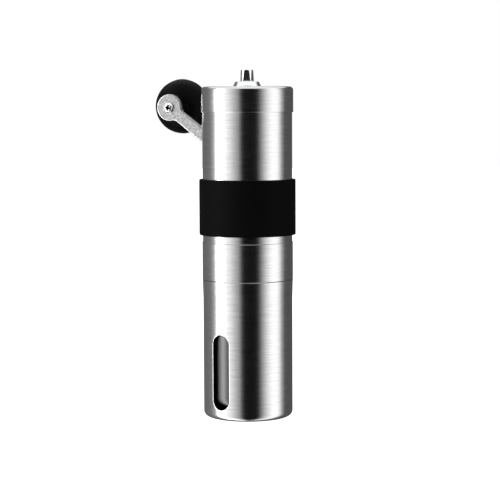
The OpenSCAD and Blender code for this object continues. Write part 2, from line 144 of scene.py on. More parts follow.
def grained(name, colour, values, grain, colour_range, rough_range, bump, stretch=(1, 1, 1), detail=3):
    """A material whose colour, roughness and relief follow one noise pattern.

    grain is the size of the pattern in metres, colour_range the factors on the colour at its ends,
    rough_range its roughness at both ends, and bump the height of the relief in metres.
    """
    material, tree, shader, coords = new_material(name, colour, values)
    scale = tuple(s / grain for s in stretch)
    mapping = add_node(tree, "ShaderNodeMapping", {"Scale": scale}, {"Vector": coords})
    noise = add_node(tree, "ShaderNodeTexNoise", {"Scale": 1.0, "Detail": detail, "Roughness": 0.6},
                     {"Vector": mapping.outputs["Vector"]})
    shade = add_node(tree, "ShaderNodeValToRGB", links={"Fac": noise.outputs["Fac"]})
    set_stops(shade, [(0.3, tint(colour, colour_range[0])), (0.7, tint(colour, colour_range[1]))])
    tree.links.new(shade.outputs["Color"], shader.inputs["Base Color"])
    rough = add_node(tree, "ShaderNodeMapRange",
                     {"From Min": 0.3, "From Max": 0.7, "To Min": rough_range[0], "To Max": rough_range[1]},
                     {"Value": noise.outputs["Fac"]})
    tree.links.new(rough.outputs["Result"], shader.inputs["Roughness"])
    relief = add_node(tree, "ShaderNodeBump", {"Strength": 1.0, "Distance": bump},
                      {"Height": noise.outputs["Fac"]})
    tree.links.new(relief.outputs["Normal"], shader.inputs["Normal"])
    return material


# ---- Finishes ----

def brushed_steel(colours):
    """Stainless steel sheet, 18/8, brushed in the lathe: fine lines run round the body.

    The lines spread each reflection up and down but keep it sharp from side to side, so the body shows
    upright light and dark bands with faint level streaks. Real lines are under 0.1 mm apart; these are
    drawn 0.5 mm apart so that they show. A slow waviness makes the bands' edges wander.
    """
    steel = grained("stainless_steel_brushed", colours.steel,
                    {"Metallic": 1.0, "Anisotropic": 0.35, "Anisotropic Rotation": 0.25},
                    grain=0.5 * MM, colour_range=(0.88, 1.05), rough_range=(0.17, 0.22), bump=0.0002 * MM,
                    stretch=(0.05, 0.05, 1.0), detail=3)
    tree = steel.node_tree
    shader = next(n for n in tree.nodes if n.type == "BSDF_PRINCIPLED")
    around = add_node(tree, "ShaderNodeTangent", direction_type="RADIAL", axis="Z")
    tree.links.new(around.outputs["Tangent"], shader.inputs["Tangent"])
    coords = next(n for n in tree.nodes if n.type == "TEX_COORD")
    wave_length, wave_height = 9 * MM, 0.03 * MM
    swell = add_node(tree, "ShaderNodeTexNoise", {"Scale": 1 / wave_length, "Detail": 1.0},
                     {"Vector": coords.outputs["Object"]})
    waves = add_node(tree, "ShaderNodeBump", {"Strength": 1.0, "Distance": wave_height},
                     {"Height": swell.outputs["Fac"]})
    relief = next(n for n in tree.nodes if n.type == "BUMP" and n != waves)
    tree.links.new(waves.outputs["Normal"], relief.inputs["Normal"])
    return steel


def tumbled_steel(colours):
    """Stamped steel strip, tumbled and nickel washed: satin, with a cloudy, mottled grain."""
    return grained("strip_steel_tumbled", colours.strip, {"Metallic": 1.0}, grain=1.2 * MM,
                   colour_range=(0.62, 1.3), rough_range=(0.26, 0.4), bump=0.05 * MM, detail=5)


def turned_steel(colours):
    """Bar steel turned and polished: bright, with faint rings round the axis."""
    return grained("bar_steel_turned", colours.bar, {"Metallic": 1.0}, grain=0.4 * MM,
                   colour_range=(0.96, 1.02), rough_range=(0.12, 0.2), bump=0.001 * MM,
                   stretch=(0.05, 0.05, 1.0))


def drawn_wire(colours):
    """Spring steel wire and blackened fixings: dull grey with a drawn skin."""
    return grained("spring_steel_drawn", colours.wire, {"Metallic": 1.0}, grain=0.3 * MM,
                   colour_range=(0.85, 1.05), rough_range=(0.3, 0.42), bump=0.002 * MM)


def painted_recess_shade(colours):
    """Cross recess of the screw, painted near black as painted shade so that its two arms stand out."""
    return grained("steel_recess_painted_shade", tint(colours.wire, 0.05), {"Metallic": 1.0}, grain=0.3 * MM,
                   colour_range=(0.8, 1.1), rough_range=(0.4, 0.5), bump=0.002 * MM)


def plated_chrome(colours):
    """Die-cast zinc, chrome plated: a mirror skin with the slightest waviness of the casting under it."""
    return grained("zinc_chrome_plated", colours.chrome, {"Metallic": 1.0}, grain=3 * MM,
                   colour_range=(0.99, 1.0), rough_range=(0.05, 0.09), bump=0.002 * MM, detail=1)


def moulded_rubber(colours):
    """Silicone rubber band, moulded black: matt, with a faint bloom.

    Its reflection is set far under the usual 0.5, to keep it black in this light.
    """
    return grained("silicone_rubber_moulded", colours.rubber, {"IOR": 1.41, "Specular IOR Level": 0.05},
                   grain=0.6 * MM, colour_range=(0.7, 1.4), rough_range=(0.6, 0.7), bump=0.004 * MM, detail=4)


def moulded_knob(colours):
    """Phenolic ball knob, moulded black, with a mottled skin.

    Its reflection is set far under the usual 0.5, to keep it black in this light.
    """
    return grained("phenolic_moulded_black", colours.knob, {"IOR": 1.5, "Specular IOR Level": 0.03},
                   grain=2.2 * MM, colour_range=(0.3, 3.0), rough_range=(0.3, 0.55), bump=0.12 * MM, detail=3)


def moulded_nylon(colours):
    """Glass-filled nylon, injection moulded black: fine spark grain, low sheen."""
    return grained("nylon_moulded_black", colours.nylon, {"IOR": 1.53}, grain=0.35 * MM,
                   colour_range=(0.8, 1.3), rough_range=(0.42, 0.55), bump=0.006 * MM)


def acetal(colours):
    """Acetal bushes and washers, natural white: smooth and slightly waxy."""
    return grained("acetal_natural", colours.acetal, {"IOR": 1.48, "Subsurface Weight": 0.1}, grain=0.8 * MM,
                   colour_range=(0.95, 1.02), rough_range=(0.3, 0.38), bump=0.002 * MM)


def burr_ceramic(colours):
    """Sintered alumina burrs: off-white and dry, with a fine pressed grain."""
    return grained("alumina_sintered", colours.ceramic, {"IOR": 1.76}, grain=0.25 * MM,
                   colour_range=(0.9, 1.03), rough_range=(0.45, 0.6), bump=0.006 * MM, detail=5)


def machined_brass(colours):
    """Free-cutting brass nut: warm, with faint turning lines."""
    return grained("brass_machined", colours.brass, {"Metallic": 1.0}, grain=0.3 * MM,
                   colour_range=(0.93, 1.03), rough_range=(0.18, 0.28), bump=0.001 * MM,
                   stretch=(0.1, 0.1, 1))


def clear_plastic(colours):
    """Styrene acrylonitrile liner, moulded clear with a smoke tint and a dull gloss."""
    material, tree, shader, coords = new_material(
        "styrene_moulded_clear", colours.clear,
        {"Transmission Weight": 1.0, "IOR": 1.57, "Roughness": 0.28, "Specular IOR Level": 0.3})
    waves_per_metre, wave_height = 90.0, 0.01 * MM
    waves = add_node(tree, "ShaderNodeTexNoise", {"Scale": waves_per_metre, "Detail": 1.0},
                     {"Vector": coords})
    relief = add_node(tree, "ShaderNodeBump", {"Strength": 1.0, "Distance": wave_height},
                      {"Height": waves.outputs["Fac"]})
    tree.links.new(relief.outputs["Normal"], shader.inputs["Normal"])
    return material


FINISHES = {
    "brushed_steel": brushed_steel,
    "clear_plastic": clear_plastic,
    "black_rubber": moulded_rubber,
    "black_plastic": moulded_nylon,
    "burr_ceramic": burr_ceramic,
    "acetal": acetal,
    "chromed_boss": plated_chrome,
    "turned_steel": turned_steel,
    "spring_steel": drawn_wire,
    "satin_strip": tumbled_steel,
    "brass": machined_brass,
    "knob_plastic": moulded_knob,
}
made_finishes = {}


def finish_for(slot):
    """The material of a slot of the record, made the first time it is asked for."""
    if slot not in made_finishes:
        made_finishes[slot] = FINISHES[slot](bpy.context.scene.grinder_colours)
    return made_finishes[slot]


# ---- Outlines ----

def rounded(corners, steps=6):
    """Closed outline through (x, y) corners. A corner given as (x, y, radius) is turned with an arc."""
    points = []
    for i, corner in enumerate(corners):
        here = Vector(corner[:2])
        if len(corner) < 3:
            points.append(here)
            continue
        back = (Vector(corners[i - 1][:2]) - here).normalized()
        on = (Vector(corners[(i + 1) % len(corners)][:2]) - here).normalized()
        half = back.angle(on) / 2
        centre = here + (back + on).normalized() * corner[2] / math.sin(half)
        first = here + back * corner[2] / math.tan(half) - centre
        last = here + on * corner[2] / math.tan(half) - centre
        sweep = math.atan2(first.cross(last), first.dot(last))
        points += [centre + Matrix.Rotation(sweep * k / steps, 2) @ first for k in range(steps + 1)]
    return points


def arc(centre, radius, start, end, steps):
    """Points of an arc, its angles in degrees."""
    angles = [math.radians(start + (end - start) * k / steps) for k in range(steps + 1)]
    return [Vector((centre[0] + radius * math.cos(a), centre[1] + radius * math.sin(a))) for a in angles]


def split(points, longest):
    """A closed outline with every side over the given length cut into equal steps."""
    result = []
    for here, on in zip(points, points[1:] + points[:1]):
        cuts = max(1, math.ceil((on - here).length / longest))
        result += [here.lerp(on, k / cuts) for k in range(cuts)]
    return result


# ---- Mesh building ----

def lathe(points, turns=TURNS):
    """Turns a closed (radius, height) outline into a solid of revolution."""
    mesh = bmesh.new()
    angles = [2 * math.pi * j / turns for j in range(turns)]
    rings = []
    for r, z in points:
        if r < TINY:
            rings.append([mesh.verts.new((0, 0, z))])
        else:
            rings.append([mesh.verts.new((r * math.cos(a), r * math.sin(a), z)) for a in angles])
    for low, high in zip(rings, rings[1:] + rings[:1]):
        if len(low) == 1 and len(high) == 1:
            continue
        for j in range(turns):
            k = (j + 1) % turns
            if len(low) == 1:
                mesh.faces.new((low[0], high[k], high[j]))
            elif len(high) == 1:
                mesh.faces.new((low[j], low[k], high[0]))
            else:
                mesh.faces.new((low[j], low[k], high[k], high[j]))
    bmesh.ops.recalc_face_normals(mesh, faces=mesh.faces)
    return mesh


def loft(rings):
    """Closed solid through rings of 3D points, each with the same number of points, capped at both ends."""
    mesh = bmesh.new()
    rows = [[mesh.verts.new(p) for p in ring] for ring in rings]
    for low, high in zip(rows, rows[1:]):
        for j in range(len(low)):
            k = (j + 1) % len(low)
            mesh.faces.new((low[j], low[k], high[k], high[j]))
    for row in (rows[0], rows[-1]):
        centre = mesh.verts.new(sum((v.co for v in row), Vector()) / len(row))
        for j in range(len(row)):
            mesh.faces.new((row[j], row[(j + 1) % len(row)], centre))
    bmesh.ops.recalc_face_normals(mesh, faces=mesh.faces)
    return mesh


def to_object(name, mesh, place=None):
    """An object in the scene from a bmesh, moved to its place first."""
    if place is not None:
        bmesh.ops.transform(mesh, matrix=place, verts=mesh.verts)
    data = bpy.data.meshes.new(name)
    mesh.to_mesh(data)
    mesh.free()
    piece = bpy.data.objects.new(name, data)
    bpy.context.scene.collection.objects.link(piece)
    return piece


def apply_modifiers(piece):
    graph = bpy.context.evaluated_depsgraph_get()
    data = bpy.data.meshes.new_from_object(piece.evaluated_get(graph))
    piece.modifiers.clear()
    piece.data = data


def combine(piece, mesh, operation="DIFFERENCE", place=None):
    """Cuts a bmesh out of a piece, or joins it on."""
    tool = to_object("tool", mesh, place)
    change = piece.modifiers.new("combine", "BOOLEAN")
    change.operation = operation
    change.solver = "EXACT"
    change.object = tool
    apply_modifiers(piece)
    bpy.data.objects.remove(tool)


def settle(piece, body, slot, *nodes, sharp=38):
    """Gives a piece its finish and even shading, and ties it to its body and the CAD nodes it stands for."""
    piece.data.materials.clear()
    piece.data.materials.append(finish_for(slot))
    piece.data.shade_smooth()
    piece.data.set_sharp_from_angle(angle=math.radians(sharp))
    shading = piece.modifiers.new("even_shading", "WEIGHTED_NORMAL")
    shading.keep_sharp = True
    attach(piece, body)
    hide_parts(*nodes)


# ---- Settings ----

class GrinderSizes(bpy.types.PropertyGroup):
    sheet: FloatProperty(name="Sheet", description="Thickness of the steel shells",
                         default=0.6 * MM, unit="LENGTH")
    edge: FloatProperty(name="Edge", description="Radius on the cut edges of the shells", default=0.22 * MM,
                        unit="LENGTH")
    lid_corner: FloatProperty(name="Lid corner", description="Radius round the lid's top", default=1.9 * MM,
                              unit="LENGTH")
    base_corner: FloatProperty(name="Base corner", description="Radius round the catch cup's base",
                               default=3 * MM, unit="LENGTH")
    slot_width: FloatProperty(name="Slot width", description="Width of the sight slot", default=10.6 * MM,
                              unit="LENGTH")
    slot_height: FloatProperty(name="Slot height", description="Height of the sight slot", default=40.2 * MM,
                               unit="LENGTH")
    slot_low: FloatProperty(name="Slot foot", description="Height of the slot's lower end", default=5.6 * MM,
                            unit="LENGTH")
    slot_turn: FloatProperty(name="Slot turn", description="Angle of the slot from the front to the left",
                             default=math.radians(18), unit="ROTATION")
    strip: FloatProperty(name="Strip", description="Thickness of the crank's strip", default=2.4 * MM,
                         unit="LENGTH")
    strip_width: FloatProperty(name="Strip width", description="Width of the crank's strip", default=6.8 * MM,
                               unit="LENGTH")
    strip_end: FloatProperty(name="Strip end", description="Diameter of the strip's round ends",
                             default=14.8 * MM, unit="LENGTH")
    strip_drop: FloatProperty(name="Strip drop", description="Drop of the strip's bend", default=4 * MM,
                              unit="LENGTH")
    strip_edge: FloatProperty(name="Strip edge",
                              description="Width of the tumbled edge round the strip's faces",
                              default=0.9 * MM, unit="LENGTH")
    strip_edge_deep: FloatProperty(name="Strip edge depth", description="Depth of the strip's tumbled edge",
                                   default=0.35 * MM, unit="LENGTH")


class GrinderColours(bpy.types.PropertyGroup):
    steel: FloatVectorProperty(name="Shells", description="Brushed stainless steel", subtype="COLOR",
                               default=linear("#D0D0D0"))
    strip: FloatVectorProperty(name="Strip", description="Tumbled strip steel", subtype="COLOR",
                               default=linear("#A6A6A6"))
    bar: FloatVectorProperty(name="Bar", description="Turned bar steel", subtype="COLOR",
                             default=linear("#E4E4E4"))
    wire: FloatVectorProperty(name="Wire", description="Spring steel wire", subtype="COLOR",
                              default=linear("#8A8B8C"))
    chrome: FloatVectorProperty(name="Chrome", description="Chrome plate", subtype="COLOR",
                                default=linear("#E3E5E7"))
    rubber: FloatVectorProperty(name="Rubber", description="Black silicone rubber", subtype="COLOR",
                                default=linear("#030303"))
    knob: FloatVectorProperty(name="Knob", description="Black phenolic", subtype="COLOR",
                              default=linear("#030303"))
    nylon: FloatVectorProperty(name="Nylon", description="Black nylon", subtype="COLOR",
                               default=linear("#161617"))
    acetal: FloatVectorProperty(name="Acetal", description="Natural acetal", subtype="COLOR",
                                default=linear("#E6E2D6"))
    ceramic: FloatVectorProperty(name="Ceramic", description="Alumina burrs", subtype="COLOR",
                                 default=linear("#E4E1D8"))
    brass: FloatVectorProperty(name="Brass", description="Machined brass", subtype="COLOR",
                               default=linear("#D9B56A"))
    clear: FloatVectorProperty(name="Clear plastic", description="Smoke tint of the clear liner",
                               subtype="COLOR",
                               default=linear("#303234"))


# ---- Catch cup ----

def slot_outline(width, height, grow, steps=24):
    """Half-round ended upright outline, (across, up) about its centre, grown outwards by grow."""
    r = width / 2 + grow
    rise = (height - width) / 2
    return arc((0, rise), r, 0, 180, steps) + arc((0, -rise), r, 180, 360, steps)


def slot_tool(sizes, wall_r, edge):
    """Solid that cuts the sight slot and rolls its outer edge to follow the wall."""
    rings = []
    middle = sizes.slot_low + sizes.slot_height / 2
    steps = 4
    inside, outside = 3 * MM, MM
    levels = [(wall_r - inside, 0)]
    for k in range(steps + 1):
        a = math.pi / 2 * k / steps
        levels.append((wall_r - edge * (1 - math.sin(a)), edge * (1 - math.cos(a))))
    levels.append((wall_r + outside, edge + outside))
    for depth, grow in levels:
        outline = slot_outline(sizes.slot_width, sizes.slot_height, grow)
        rings.append([(x, -math.sqrt(depth ** 2 - x ** 2), middle + z) for x, z in outline])
    tool = loft(rings)
    bmesh.ops.rotate(tool, verts=tool.verts, matrix=Matrix.Rotation(-sizes.slot_turn, 3, "Z"))
    return tool


class GRINDER_OT_cup_shell(bpy.types.Operator):
    """Catch cup's steel shell: drawn base corner, flared mouth and the sight slot with its rolled edge"""
    bl_idname = "grinder.cup_shell"
    bl_label = "Cup shell"

    def execute(self, context):
        sizes = context.scene.grinder_sizes
        mouth_r, low, high = round_size("cup_shell")
        tube_r = round_size("hopper_tube")[0]
        wall_r = tube_r - 0.05 * MM
        inner_r = tube_r - sizes.sheet
        sheet = sizes.sheet
        corner = sizes.base_corner
        groove_in, groove_out = 12 * MM, 13.5 * MM
        groove_deep, groove_slope = 0.25 * MM, 0.15 * MM
        groove = [(groove_in, low), (groove_in + groove_slope, low + groove_deep),
                  (groove_out - groove_slope, low + groove_deep), (groove_out, low)]
        flare_h, flare_bend = 10 * MM, 12 * MM
        inner_edge = 0.15 * MM
        slot_edge = 0.32 * MM
        longest_side = 2.5 * MM
        outline = rounded(
            [(0, low), *groove, (wall_r, low, corner), (wall_r, high - flare_h, flare_bend),
             (mouth_r, high, sizes.edge), (inner_r, high, inner_edge), (inner_r, low + sheet, corner - sheet),
             (0, low + sheet)], steps=8)
        shell = to_object("catch_cup_shell", lathe(split(outline, longest_side)))
        combine(shell, slot_tool(sizes, wall_r, slot_edge))
        settle(shell, "cup", "brushed_steel", "cup_shell")
        return {"FINISHED"}


class GRINDER_OT_cup_liner(bpy.types.Operator):
    """Clear inner cup that holds the grounds, on its foot ring"""
    bl_idname = "grinder.cup_liner"
    bl_label = "Cup liner"

    def execute(self, context):
        sizes = context.scene.grinder_sizes
        outer_r, foot_z, top = round_size("cup_liner")
        wall = 1.2 * MM
        step_in = 1.5 * MM
        above_slot = 3 * MM
        foot_h = 2.15 * MM
        foot_in, foot_out = 10 * MM, 12 * MM
        corner, foot_edge, lip_edge = 9 * MM, 0.3 * MM, 0.4 * MM
        bend_low, bend_high = 1.5 * MM, 1 * MM
        low_r = outer_r - step_in
        step_z = sizes.slot_low + sizes.slot_height + above_slot
        step_top = step_z + step_in
        floor_z = foot_z + foot_h
        outline = rounded(
            [(0, floor_z), (foot_in, floor_z), (foot_in, foot_z, foot_edge), (foot_out, foot_z, foot_edge),
             (foot_out, floor_z), (low_r, floor_z, corner), (low_r, step_z, bend_low),
             (outer_r, step_top, bend_high), (outer_r, top, lip_edge), (outer_r - wall, top, lip_edge),
             (outer_r - wall, step_top, bend_high), (low_r - wall, step_z, bend_low),
             (low_r - wall, floor_z + wall, corner - wall), (0, floor_z + wall)], steps=12)
        liner = to_object("catch_cup_liner", lathe(outline))
        settle(liner, "cup", "clear_plastic", "cup_liner")
        return {"FINISHED"}


# ---- Hopper ----

def band_of_sheet(name, node, sheet, edge):
    """A plain turned band with rounded edges."""
    outer_r, low, high = round_size(node)
    inner_r = outer_r - sheet
    inner_edge = 0.1 * MM
    outline = rounded([(inner_r, low, inner_edge), (outer_r, low, edge), (outer_r, high, edge),
                       (inner_r, high, inner_edge)])
    return to_object(name, lathe(outline))


class GRINDER_OT_hopper_tube(bpy.types.Operator):
    """Steel tube of the hopper and the steel collar below it"""
    bl_idname = "grinder.hopper_tube"
    bl_label = "Hopper tube and collar"

    def execute(self, context):
        sizes = context.scene.grinder_sizes
        tube_edge = 0.15 * MM
        tube = band_of_sheet("hopper_tube_steel", "hopper_tube", sizes.sheet, tube_edge)
        settle(tube, "body", "brushed_steel", "hopper_tube")
        collar = band_of_sheet("burr_collar_steel", "housing_collar", sizes.sheet, sizes.edge)
        settle(collar, "body", "brushed_steel", "housing_collar")
        return {"FINISHED"}


class GRINDER_OT_lid_cap(bpy.types.Operator):
    """Drawn steel lid with a round top corner and a hole for the boss"""
    bl_idname = "grinder.lid_cap"
    bl_label = "Lid"

    def execute(self, context):
        sizes = context.scene.grinder_sizes
        outer_r, low, high = round_size("lid_cap")
        skin = 0.5 * MM
        hole_r = 5.05 * MM
        inner_edge = 0.15 * MM
        outline = rounded(
            [(hole_r, high), (outer_r, high, sizes.lid_corner), (outer_r, low, sizes.edge),
             (outer_r - skin, low, inner_edge), (outer_r - skin, high - skin, sizes.lid_corner - skin),
             (hole_r, high - skin)], steps=10)
        lid = to_object("lid_cap_steel", lathe(outline))
        settle(lid, "lid", "brushed_steel", "lid_cap")
        return {"FINISHED"}


class GRINDER_OT_lid_boss(bpy.types.Operator):
    """Chromed boss on the lid, with a round shoulder over a sloped foot"""
    bl_idname = "grinder.lid_boss"
    bl_label = "Lid boss"

    def execute(self, context):
        foot_r, low, high = round_size("lid_boss")
        lid_top = round_size("lid_cap")[2]
        bore_r, neck_r = 3.85 * MM, 5 * MM
        foot_h, slope_in = 0.35 * MM, 1.1 * MM
        seat_edge, foot_edge, bore_edge = 0.1 * MM, 0.2 * MM, 0.35 * MM
        shoulder = 0.9 * MM
        outline = rounded(
            [(bore_r, low), (neck_r, low), (neck_r, lid_top), (foot_r, lid_top, seat_edge),
             (foot_r, lid_top + foot_h, foot_edge), (foot_r - slope_in, high, shoulder),
             (bore_r, high, bore_edge)], steps=8)
        boss = to_object("lid_boss_chrome", lathe(outline, 128))
        settle(boss, "lid", "chromed_boss", "lid_boss")
        return {"FINISHED"}


# ---- Grip band ----

def hull(points):
    mesh = bmesh.new()
    for p in points:
        mesh.verts.new(p)
    result = bmesh.ops.convex_hull(mesh, input=mesh.verts)
    loose = [v for v in result["geom_interior"] if isinstance(v, bmesh.types.BMVert)]
    bmesh.ops.delete(mesh, geom=loose, context="VERTS")
    bmesh.ops.recalc_face_normals(mesh, faces=mesh.faces)
    return mesh


def rounded_slab(radius, reach, low, high, bevel, steps=5):
    """Slab with round ends, from the origin to reach along X, its upper edge rounded by bevel."""
    rings = [(low, radius)]
    for k in range(steps + 1):
        a = math.pi / 2 * k / steps
        rings.append((high - bevel * (1 - math.sin(a)), radius - bevel * (1 - math.cos(a))))
    points = []
    for z, r in rings:
        for x, start in ((0, 90), (reach, -90)):
            points += [(x + p.x, p.y, z) for p in arc((0, 0), r, start, start + 180, 20)]
    return hull(points)


class GRINDER_OT_grip_band(bpy.types.Operator):
    """Rubber grip band with the raised pocket at the back that holds the crank's end"""
    bl_idname = "grinder.grip_band"
    bl_label = "Grip band"

    def execute(self, context):
        sizes = context.scene.grinder_sizes
        low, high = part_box("grip_band")
        tube_r = round_size("hopper_tube")[0]
        seat = 0.15 * MM                # left on both faces for the remesh to round off
        inner_r = tube_r + seat
        outer_r = (high[0] - low[0]) / 2
        inner_edge = outer_edge = 0.3 * MM
        outline = rounded([(inner_r, low[2], inner_edge), (outer_r - seat, low[2], outer_edge),
                           (outer_r - seat, high[2], outer_edge), (inner_r, high[2], inner_edge)])
        band = to_object("grip_band_rubber", lathe(outline))

        place = crank_frame()
        end_r = sizes.strip_end / 2
        pocket_wall, pocket_roof, pocket_edge = 1.9 * MM, 2.1 * MM, 1.5 * MM
        pocket_reach, pocket_floor = 40 * MM, -6 * MM
        pad = to_object("pad", rounded_slab(end_r + pocket_wall, pocket_reach, pocket_floor,
                                            sizes.strip + pocket_roof, pocket_edge), place)
        between_rims = [(0, low[2]), (2 * outer_r, low[2]), (2 * outer_r, high[2]), (0, high[2])]
        combine(pad, lathe([Vector(p) for p in between_rims], 64), "INTERSECT")
        core_r = tube_r + 0.6 * MM
        core = [(0, low[2] - MM), (core_r, low[2] - MM), (core_r, high[2] + MM), (0, high[2] + MM)]
        combine(pad, lathe([Vector(p) for p in core], 128))
        joined = bmesh.new()
        joined.from_mesh(pad.data)
        bpy.data.objects.remove(pad)
        combine(band, joined, "UNION")

        slack_side, slack_top, mouth_edge = 0.35 * MM, 0.5 * MM, 0.4 * MM
        mouth_reach, mouth_floor = 60 * MM, -8 * MM
        mouth = rounded_slab(end_r + slack_side, mouth_reach, mouth_floor, sizes.strip + slack_top,
                             mouth_edge)
        combine(band, mouth, place=place)
        remesh = band.modifiers.new("mould", "REMESH")
        remesh.mode = "VOXEL"
        remesh.voxel_size = 0.33 * MM
        smooth = band.modifiers.new("soften", "SMOOTH")
        smooth.factor = 0.5
        smooth.iterations = 3
        apply_modifiers(band)
        settle(band, "body", "black_rubber", "grip_band", sharp=60)
        return {"FINISHED"}


# ---- Spindle ----

class GRINDER_OT_spindle(bpy.types.Operator):
    """Spindle: five-sided drive, journal, shank, hexagon and the adjusting thread cut as a real helix"""
    bl_idname = "grinder.spindle"
    bl_label = "Spindle"

    steps = 240
    corner_turn = 249       # angle of one of the drive's corners, in degrees
    drive_height = 5.9 * MM
    drive_flat_r = 3.14 * MM

    def drive_ring(self, z, round_r, flat_r=drive_flat_r):
        """Ring of the five-sided drive: flats at flat_r, corners cut at round_r."""
        ring = []
        for j in range(self.steps):
            a = 2 * math.pi * j / self.steps
            off = (a - math.radians(self.corner_turn + 36)) % (2 * math.pi / 5)
            off = min(off, 2 * math.pi / 5 - off)
            r = min(flat_r / math.cos(off), round_r)
            ring.append((r * math.cos(a), r * math.sin(a), z))
        return ring

    def hexagon_ring(self, z, flat_r, round_r):
        ring = []
        for j in range(self.steps):
            a = 2 * math.pi * j / self.steps
            off = (a - math.pi / 6) % (math.pi / 3)
            off = min(off, math.pi / 3 - off)
            r = min(flat_r / math.cos(off), round_r)
            ring.append((r * math.cos(a), r * math.sin(a), z))
        return ring

    def round_ring(self, z, r):
        angles = [2 * math.pi * j / self.steps for j in range(self.steps)]
        return [(r * math.cos(a), r * math.sin(a), z) for a in angles]

    def thread_ring(self, z, pitch, crest, root):
        """Ring of a right-hand thread: its radius climbs and falls once in each turn."""
        ring = []
        for j in range(self.steps):
            a = 2 * math.pi * j / self.steps
            share = (z / pitch - j / self.steps) % 1
            r = root + (crest - root) * (1 - abs(2 * share - 1))
            ring.append((r * math.cos(a), r * math.sin(a), z))
        return ring

    def execute(self, context):
        low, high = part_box("spindle")
        journal_r = (high[0] - low[0]) / 2
        foot = low[2]
        tip = high[2]
        drive_low = tip - self.drive_height
        hub_low, hub_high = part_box("burr_hub")[0][2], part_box("burr_hub")[1][2]
        bridge_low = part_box("top_bridge")[0][2]
        clip_low, clip_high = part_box("retaining_clip")[0][2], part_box("retaining_clip")[1][2]
        thread_top = hub_low + MM
        hex_top = hub_high + 1.3 * MM
        journal_low = bridge_low - 3 * MM

        pitch, crest_r, root_r = MM, 2.5 * MM, 2.05 * MM
        foot_r, lead_in = 1.7 * MM, 0.4 * MM
        rings = [self.round_ring(foot, foot_r)]
        z = foot + lead_in
        while z < thread_top - lead_in:
            rings.append(self.thread_ring(z, pitch, crest_r, root_r))
            z += pitch / 10

        neck_r = 2.1 * MM
        hex_r, hex_start_r, hex_bevel = 3 * MM, 2.7 * MM, 0.3 * MM
        hex_flat = hex_r * math.cos(math.pi / 6)
        rings += [self.round_ring(thread_top, neck_r), self.hexagon_ring(thread_top, hex_flat, hex_start_r),
                  self.hexagon_ring(thread_top + hex_bevel, hex_flat, hex_r),
                  self.hexagon_ring(hex_top, hex_flat, hex_r)]

        shank_r, groove_r, clip_play = 3 * MM, 2.4 * MM, 0.05 * MM
        bevel, drive_step = 0.3 * MM, 0.2 * MM
        rings += [self.round_ring(height, r) for height, r in (
            (hex_top, shank_r), (clip_low - clip_play, shank_r), (clip_low - clip_play, groove_r),
            (clip_high + clip_play, groove_r), (clip_high + clip_play, shank_r), (journal_low, shank_r),
            (journal_low, journal_r - bevel), (journal_low + bevel, journal_r),
            (drive_low - drive_step, journal_r), (drive_low, journal_r - drive_step))]

        flat_start_r = 3.0 * MM
        corner_low, corner_high = 3.72 * MM, 3.36 * MM
        shoulder, drive_bevel = 0.5 * MM, 0.15 * MM
        tip_flat = 0.25 * MM            # how much of the rounded tip leaves the flats alone
        taper_low = drive_low + drive_bevel
        rings.append(self.drive_ring(drive_low, corner_low, flat_start_r))
        rings.append(self.drive_ring(taper_low, corner_low))
        for k in range(9):
            share = k / 8
            height = taper_low + (tip - shoulder - taper_low) * share
            rings.append(self.drive_ring(height, corner_low + (corner_high - corner_low) * share))
        for k in range(1, 6):
            a = math.pi / 2 * k / 5
            cut = shoulder * (1 - math.cos(a))
            rings.append(self.drive_ring(tip - shoulder * (1 - math.sin(a)), corner_high - cut,
                                         self.drive_flat_r - max(0, cut - tip_flat)))
        spindle = to_object("spindle_steel", loft(rings))
        settle(spindle, "spindle", "turned_steel", "spindle", sharp=25)
        return {"FINISHED"}


# ---- Crank ----

def strip_outline(sizes, length, inset=0.0):
    """Outline of the flat strip from above: two round ends joined by the strip with filleted shoulders."""
    end_r = sizes.strip_end / 2
    half = sizes.strip_width / 2
    fillet = 3.2 * MM
    reach = math.sqrt((end_r + fillet) ** 2 - (half + fillet) ** 2)
    lean = math.degrees(math.atan2(half + fillet, reach))
    end_r -= inset
    fillet += inset
    centre = half - inset + fillet
    near = arc((0, 0), end_r, 180, lean, 30) + arc((reach, centre), fillet, lean + 180, 270, 8)[1:]
    far = [Vector((length - p.x, p.y)) for p in reversed(near)]
    upper = near + far
    lower = [Vector((p.x, -p.y)) for p in reversed(upper[1:-1])]
    return upper + lower


def recess_arm(width, reach, depth, top):
    """Cutter for one arm of a screw's cross recess, narrowing as it goes down."""
    shorter, narrower = 0.15, 0.3
    mesh = bmesh.new()
    bmesh.ops.create_cube(mesh, size=1)
    for v in mesh.verts:
        deep = v.co.z < 0
        v.co.x *= 2 * reach * (shorter if deep else 1.0)
        v.co.y *= width * (narrower if deep else 1.0)
        v.co.z = top - depth if deep else top + 0.2 * MM
    return mesh


